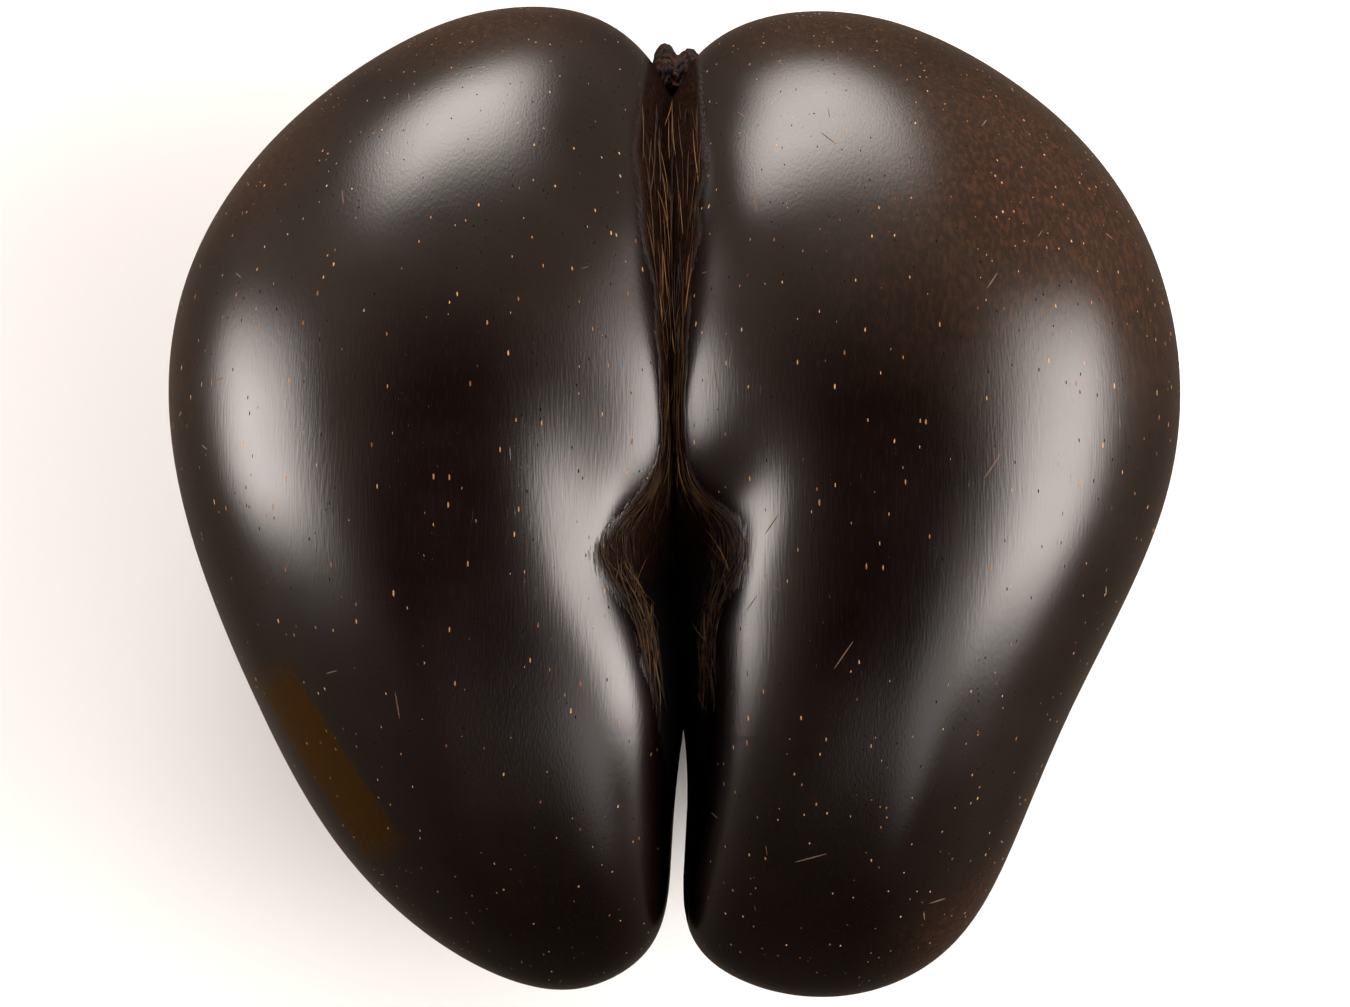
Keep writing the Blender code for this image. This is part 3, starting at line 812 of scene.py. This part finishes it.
    # Hair scratches: straight and very slim, in a few directions.
    scratch = 0.0
    for turn in SCRATCH_TURNS:
        hair = {"Vector": place, "Location": (turn, 0, 0), "Rotation": (0, 0, turn), "Scale": SCRATCH_SIZE}
        hair = node(tree, "ShaderNodeMapping", hair, vector_type="TEXTURE")[0]
        hair = node(tree, "ShaderNodeTexVoronoi", {"Vector": hair, "Scale": 1.0})["Distance"]
        hair = node(tree, "ShaderNodeMath", {0: hair, 1: SCRATCH_RADIUS}, operation="LESS_THAN")[0]
        scratch = node(tree, "ShaderNodeMath", {0: hair, 1: scratch}, operation="MAXIMUM")[0]

    # The unpolished band, with a ragged edge that follows the grain.
    band = node(tree, "ShaderNodeMath", {0: fibre, 1: BAND_RAGGED, 2: raw}, operation="MULTIPLY_ADD")[0]
    band = {"Value": band, "From Min": BAND_RANGE[0], "From Max": BAND_RANGE[1]}
    band = node(tree, "ShaderNodeMapRange", band, interpolation_type="SMOOTHSTEP")[0]
    dry = {SHARE: browner, COLOUR_A: linear(RAW_DEEP), COLOUR_B: look.raw_colour}
    dry = node(tree, "ShaderNodeMix", dry, data_type="RGBA")[COLOUR_OUT]

    # The colours, each over those before it. The last is painted shade: black deep in the cave.
    colour = linear(SHELL_DEEP)
    for share, over in (
        (clouding, look.shell_colour), (streak, linear(SHELL_STREAK)), (showing, look.worn_colour),
        (stain, linear(STAIN_COLOUR)), (fleck, tan), (pore, linear(PORE_COLOUR)),
        (scratch, linear(SCRATCH_COLOUR)), (band, dry), (dark, linear(CAVE_SHADE_COLOUR)),
    ):
        colour = {SHARE: share, COLOUR_A: colour, COLOUR_B: over}
        colour = node(tree, "ShaderNodeMix", colour, data_type="RGBA")[COLOUR_OUT]

    # Gloss varies with the clouding, and goes in the flecks, the scratches, the pores and the band.
    gloss = {"Value": cloud, "From Min": GLOSS_RANGE[0], "From Max": GLOSS_RANGE[1]}
    gloss.update({"To Min": look.roughness + GLOSS_STRAYS[0], "To Max": look.roughness + GLOSS_STRAYS[1]})
    gloss = node(tree, "ShaderNodeMapRange", gloss)[0]
    pits = node(tree, "ShaderNodeMath", {0: fleck, 1: pore}, operation="MAXIMUM")[0]
    marks = node(tree, "ShaderNodeMath", {0: pits, 1: scratch}, operation="MAXIMUM")[0]
    for share, rougher in ((marks, MARK_ROUGHNESS), (band, RAW_ROUGHNESS)):
        gloss = node(tree, "ShaderNodeMix", {SHARE: share, NUMBER_A: gloss, NUMBER_B: rougher})[NUMBER_OUT]
    # The shine goes in the marks, the band, the stain and the painted shade of the cave.
    dull = marks
    for share in (band, dark, stain):
        dull = node(tree, "ShaderNodeMath", {0: dull, 1: share}, operation="MAXIMUM")[0]
    shine = node(tree, "ShaderNodeMapRange", {"Value": dull, "To Min": SHINE, "To Max": DULL_SHINE})[0]

    # Relief: the grain stands a few hundredths of a millimetre proud, and the band is much rougher.
    pitted = node(tree, "ShaderNodeMath", {0: pits, 1: PIT_DEPTH, 2: grain}, operation="MULTIPLY_ADD")[0]
    relief = {"Height": pitted, "Distance": GRAIN_RELIEF, "Strength": 1.0}
    relief = node(tree, "ShaderNodeBump", relief)[0]
    rough = node(tree, "ShaderNodeMath", {0: fibre, 1: band}, operation="MULTIPLY")[0]
    relief = {"Height": rough, "Distance": FIBRE_RELIEF, "Strength": 1.0, "Normal": relief}
    relief = node(tree, "ShaderNodeBump", relief)[0]
    drive(tree, shader, {"Base Color": colour, "Roughness": gloss, "Normal": relief})
    drive(tree, shader, {"Specular IOR Level": shine, "IOR": 1.5, "Metallic": 0.0})
    return made


def dry_fibre(look):
    """Palm fibre, torn and dried. Matt brown strands, each of its own tone, a few of them golden."""
    made, tree, shader = new_material("dry_palm_fibre")
    tone = node(tree, "ShaderNodeAttribute", attribute_name="tone")["Fac"]
    place = node(tree, "ShaderNodeTexCoord")["Object"]
    spots = node(tree, "ShaderNodeTexNoise", {"Vector": place, "Scale": 1 / STRAND_SPOT, "Detail": 2.0})[0]
    mixed = node(tree, "ShaderNodeMath", {0: spots, 1: STRAND_SPOTTED, 2: tone}, operation="MULTIPLY_ADD")[0]
    mixed = {"Value": mixed, "From Min": STRAND_RANGE[0], "From Max": STRAND_RANGE[1]}
    mixed = node(tree, "ShaderNodeMapRange", mixed)[0]
    strand = {SHARE: mixed, COLOUR_A: look.dark_strands, COLOUR_B: look.golden_strands}
    strand = node(tree, "ShaderNodeMix", strand, data_type="RGBA")[COLOUR_OUT]
    drive(tree, shader, {"Base Color": strand, "Roughness": 0.6, "Specular IOR Level": 0.25, "Metallic": 0.0})
    return made


def packed_husk(look):
    """Coir husk, broken off and left rough. Matt, crumbly and dark, with tan fibre ends on its crests."""
    made, tree, shader = new_material("packed_coir_husk")
    place = node(tree, "ShaderNodeTexCoord")["Object"]
    tone = node(tree, "ShaderNodeAttribute", attribute_name="tone")["Fac"]
    crumb = {"Vector": place, "Scale": [1 / side for side in CRUMB_SIZE]}
    crumb = node(tree, "ShaderNodeMapping", crumb)[0]
    crumb = node(tree, "ShaderNodeTexNoise", {"Vector": crumb, "Scale": 1.0, "Detail": 5.0})[0]
    mixed = node(tree, "ShaderNodeMath", {0: crumb, 1: tone}, operation="MULTIPLY")[0]
    mixed = {"Value": mixed, "From Min": CRUMB_RANGE[0], "From Max": CRUMB_RANGE[1]}
    mixed = node(tree, "ShaderNodeMapRange", mixed)[0]
    husk = {SHARE: mixed, COLOUR_A: look.husk_dark, COLOUR_B: look.husk_brown}
    husk = node(tree, "ShaderNodeMix", husk, data_type="RGBA")[COLOUR_OUT]
    relief = {"Height": crumb, "Distance": CRUMB_RELIEF, "Strength": 1.0}
    relief = node(tree, "ShaderNodeBump", relief)[0]
    drive(tree, shader, {"Base Color": husk, "Roughness": 0.8, "Specular IOR Level": 0.3, "Normal": relief})
    return made


def painted_floor(look):
    """Smooth board, painted flat. A plain pale ground with hardly any gloss."""
    made, tree, shader = new_material("flat_painted_board")
    place = node(tree, "ShaderNodeTexCoord")["Object"]
    roller = node(tree, "ShaderNodeTexNoise", {"Vector": place, "Scale": 1 / ROLLER_NAP, "Detail": 2.0})[0]
    relief = {"Height": roller, "Distance": ROLLER_RELIEF, "Strength": 0.3}
    relief = node(tree, "ShaderNodeBump", relief)[0]
    drive(tree, shader, {"Base Color": look.floor_colour, "Roughness": 0.9, "Normal": relief})
    return made


def soften_edges(lamp):
    """Lets the lamp's light fall off smoothly towards its edges, as a soft box does."""
    lamp.use_nodes = True
    tree = lamp.node_tree
    across = node(tree, "ShaderNodeSeparateXYZ", {0: node(tree, "ShaderNodeNewGeometry")["Parametric"]})
    light = 1.0
    for share in (across["X"], across["Y"]):
        from_edge = node(tree, "ShaderNodeMath", {0: share, 1: 0.5}, operation="PINGPONG")[0]
        edge = {"Value": from_edge, "From Max": BOX_SOFT_EDGE}
        edge = node(tree, "ShaderNodeMapRange", edge, interpolation_type="SMOOTHSTEP")[0]
        light = node(tree, "ShaderNodeMath", {0: edge, 1: light}, operation="MULTIPLY")[0]
    tree.links.new(light, tree.nodes["Emission"].inputs["Strength"])


def colour_setting(name, description, code):
    """A colour that a user can change."""
    return bpy.props.FloatVectorProperty(
        name=name, description=description, default=linear(code), subtype="COLOR", size=4, min=0, max=1,
    )


class CocoShellSettings(bpy.types.PropertyGroup):
    shell_colour: colour_setting("Shell colour", "The polished shell where it is lightest", "#0d0403")
    worn_colour: colour_setting("Worn colour", "The brown that shows where the polish is thin", "#43260f")
    fleck_colour: colour_setting("Fleck colour", "The brightest fibre ends in the shell", "#b98d60")
    raw_colour: colour_setting("Unpolished colour", "The dry skin along the seam", "#2a140a")
    roughness: bpy.props.FloatProperty(
        name="Roughness", description="How soft the polish is", default=0.24,
        min=0.05, max=1, subtype="FACTOR",
    )
    raw_relief: bpy.props.FloatProperty(
        name="Unpolished relief", description="How deep the streaks along the seam are", default=0.0004,
        min=0, max=0.002, unit="LENGTH", subtype="DISTANCE", precision=4,
    )


class CocoFibreSettings(bpy.types.PropertyGroup):
    strands: bpy.props.IntProperty(
        name="Strands", description="How many loose strands lie along the seam", default=440,
        min=1, max=2000,
    )
    thickness: bpy.props.FloatProperty(
        name="Thickness", description="The thickest strand's radius", default=0.00022,
        min=0.0001, max=0.001, unit="LENGTH", subtype="DISTANCE", precision=5,
    )
    dark_strands: colour_setting("Dark strands", "The darkest strands", "#130904")
    golden_strands: colour_setting("Golden strands", "The lightest strands", "#94683a")


class CocoHuskSettings(bpy.types.PropertyGroup):
    husk_dark: colour_setting("Husk in its hollows", "The husk where it is darkest", "#070302")
    husk_brown: colour_setting("Husk on its crests", "The husk where it is lightest", "#4a2610")


class CocoStageSettings(bpy.types.PropertyGroup):
    floor_colour: colour_setting("Floor colour", "The board that it lies on", "#f6f9fc")
    lamp_strength: bpy.props.FloatProperty(
        name="Lamp strength", description="How strong all the lamps are together", default=1.0,
        min=0, max=10, subtype="FACTOR",
    )
    camera_height: bpy.props.FloatProperty(
        name="Camera height", description="From the nut's middle plane up to the camera", default=2.2,
        min=0.5, max=10, unit="LENGTH", subtype="DISTANCE",
    )


class CocoShell(bpy.types.Operator):
    """Adds the polished shell in place of the plain nut"""

    bl_idname = "mesh.coco_shell"
    bl_label = "Polished shell"

    def execute(self, context):
        look = context.scene.coco_shell
        # dark: how much painted shade each point takes in the cave.
        raw, dark = SHELL.values.T
        values = {"raw": raw, "cave": dark}
        piece = add_piece("fine_shell", SHELL.points, SHELL.faces, values, polished_shell(look))
        sink_between_fibres(piece, raw, look.raw_relief)
        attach(piece, "root")
        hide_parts("nut")
        return {"FINISHED"}


class CocoFibres(bpy.types.Operator):
    """Adds the loose strands along the seam, round the fork and on its walls"""

    bl_idname = "mesh.coco_fibres"
    bl_label = "Loose fibres"

    def execute(self, context):
        look = context.scene.coco_fibres
        draw = np.random.default_rng(STRAND_SEED)
        points, faces, tones = [], [], []
        for _ in range(look.strands):
            in_cleft = draw.random() < CLEFT_STRAND_SHARE
            low, high = CLEFT_STRANDS if in_cleft else FORK_STRANDS
            length, side = draw.uniform(*STRAND_LENGTH), draw.choice((-1, 1))
            height = draw.uniform(low + length / 2, high - length / 2)
            share = draw.uniform(*(CLEFT_STRAND_OFF if in_cleft else FORK_STRAND_OFF))
            drift = draw.normal(0, STRAND_DRIFT)
            lift = draw.uniform(*STRAND_LIFT)
            path = []
            for step in np.linspace(-0.5, 0.5, STRAND_STEPS):
                along = height + step * length
                off = np.clip(share + drift * step, STRAND_INNERMOST, 1.0)
                place, normal = on_the_skin(along, off, side)
                path.append(place + normal * lift * math.cos(math.pi * step))
            before = len(points)
            spindle(path, look.thickness * draw.uniform(*STRAND_THICKNESS), points, faces)
            golden = draw.random() < GOLDEN_SHARE
            tone = draw.uniform(*(GOLDEN_TONES if golden else DARK_TONES))
            tone *= 1.0 if in_cleft else FORK_STRAND_TONE
            tones.extend([tone] * (len(points) - before))
        piece = add_piece("seam_fibres", points, faces, {"tone": tones}, dry_fibre(look))
        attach(piece, "root")
        return {"FINISHED"}


class CocoHusk(bpy.types.Operator):
    """Adds the husk in the notch in place of the plain one"""

    bl_idname = "mesh.coco_husk"
    bl_label = "Husk in the notch"

    def execute(self, context):
        skin = tuft_skin()
        look = context.scene.coco_husk
        piece = add_piece("husk_lips", skin.points, skin.faces, {"tone": skin.values}, packed_husk(look))
        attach(piece, "root")
        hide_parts("husk_tuft")
        return {"FINISHED"}


class CocoStage(bpy.types.Operator):
    """Adds the floor, the soft boxes and the camera"""

    bl_idname = "scene.coco_stage"
    bl_label = "Stage"

    def execute(self, context):
        look = context.scene.coco_stage
        mesh = bpy.data.meshes.new("floor")
        corners = [(x * FLOOR_HALF, y * FLOOR_HALF, 0) for x, y in ((-1, -1), (1, -1), (1, 1), (-1, 1))]
        mesh.from_pydata(corners, [], [(0, 1, 2, 3)])
        mesh.materials.append(painted_floor(look))
        floor = bpy.data.objects.new("floor", mesh)
        context.scene.collection.objects.link(floor)
        floor.visible_glossy = False

        for name, (around, down, wide, high, power) in SOFT_BOXES.items():
            lamp = bpy.data.lights.new(name, "AREA")
            lamp.shape, lamp.size, lamp.size_y = "RECTANGLE", wide, high
            lamp.energy = power * look.lamp_strength
            lamp.color = linear(LAMP_COLOUR)[:3]
            soften_edges(lamp)
            box = bpy.data.objects.new(name, lamp)
            around, down = math.radians(around), math.radians(down)
            aside = math.sin(down)
            way = Vector((aside * math.cos(around), aside * math.sin(around), math.cos(down)))
            box.location = Vector(MIDDLE) + way * BOX_DISTANCE
            box.rotation_mode = "QUATERNION"
            box.rotation_quaternion = (-way).to_track_quat("-Z", "Y")
            box.visible_camera = False
            context.scene.collection.objects.link(box)

        camera = bpy.data.cameras.new("camera")
        camera.sensor_width = SENSOR
        camera.lens = SENSOR * look.camera_height / (IMAGE_WIDTH * METRES_PER_PIXEL)
        viewer = bpy.data.objects.new("camera", camera)
        viewer.location = Vector(VIEW_CENTRE) + Vector((0, 0, look.camera_height))
        context.scene.collection.objects.link(viewer)
        context.scene.camera = viewer
        context.scene.view_settings.view_transform = "Standard"

        # The camera sees a pale room. The shell reflects one that is dark overhead, pale at the far side, and
        # dim at the near one and below.
        room = bpy.data.worlds.new("room")
        room.use_nodes = True
        context.scene.world = room
        tree = room.node_tree
        way = node(tree, "ShaderNodeSeparateXYZ", {0: node(tree, "ShaderNodeTexCoord")["Generated"]})
        haze = 1.0
        for axis, (low, high), least in ROOM_FADES:
            fade = {"Value": way[axis], "From Min": low, "From Max": high, "To Min": least}
            fade = node(tree, "ShaderNodeMapRange", fade, interpolation_type="SMOOTHSTEP")[0]
            haze = node(tree, "ShaderNodeMath", {0: haze, 1: fade}, operation="MULTIPLY")[0]
        haze = {SHARE: haze, COLOUR_A: linear(ROOM_DARK), COLOUR_B: linear(ROOM_HAZE)}
        haze = node(tree, "ShaderNodeMix", haze, data_type="RGBA")[COLOUR_OUT]
        seen = node(tree, "ShaderNodeLightPath")["Is Camera Ray"]
        pale = {SHARE: seen, COLOUR_A: haze, COLOUR_B: linear(ROOM_PALE)}
        pale = node(tree, "ShaderNodeMix", pale, data_type="RGBA")[COLOUR_OUT]
        tree.links.new(pale, tree.nodes["Background"].inputs["Color"])
        return {"FINISHED"}


class CocoPanel(bpy.types.Panel):
    """Lists the pieces, with the sizes and colours of each"""

    bl_idname = "VIEW3D_PT_coco_de_mer"
    bl_label = "Coco de mer"
    bl_space_type = "VIEW_3D"
    bl_region_type = "UI"
    bl_category = "Coco de mer"

    def draw(self, context):
        for name, operator in STEPS.items():
            box = self.layout.box()
            box.operator(operator.bl_idname)
            settings = getattr(context.scene, name)
            for value in SETTINGS[name].__annotations__:
                box.prop(settings, value)


SETTINGS = {
    "coco_shell": CocoShellSettings,
    "coco_fibres": CocoFibreSettings,
    "coco_husk": CocoHuskSettings,
    "coco_stage": CocoStageSettings,
}
STEPS = {"coco_shell": CocoShell, "coco_fibres": CocoFibres, "coco_husk": CocoHusk, "coco_stage": CocoStage}
CLASSES = (*SETTINGS.values(), *STEPS.values(), CocoPanel)


def register():
    for made in CLASSES:
        bpy.utils.register_class(made)
    for name, group in SETTINGS.items():
        setattr(bpy.types.Scene, name, bpy.props.PointerProperty(type=group))


def unregister():
    for name in SETTINGS:
        delattr(bpy.types.Scene, name)
    for made in reversed(CLASSES):
        bpy.utils.unregister_class(made)


def main():
    register()
    bpy.ops.mesh.coco_shell()
    bpy.ops.mesh.coco_fibres()
    bpy.ops.mesh.coco_husk()
    bpy.ops.scene.coco_stage()


if __name__ == "__main__":
    main()
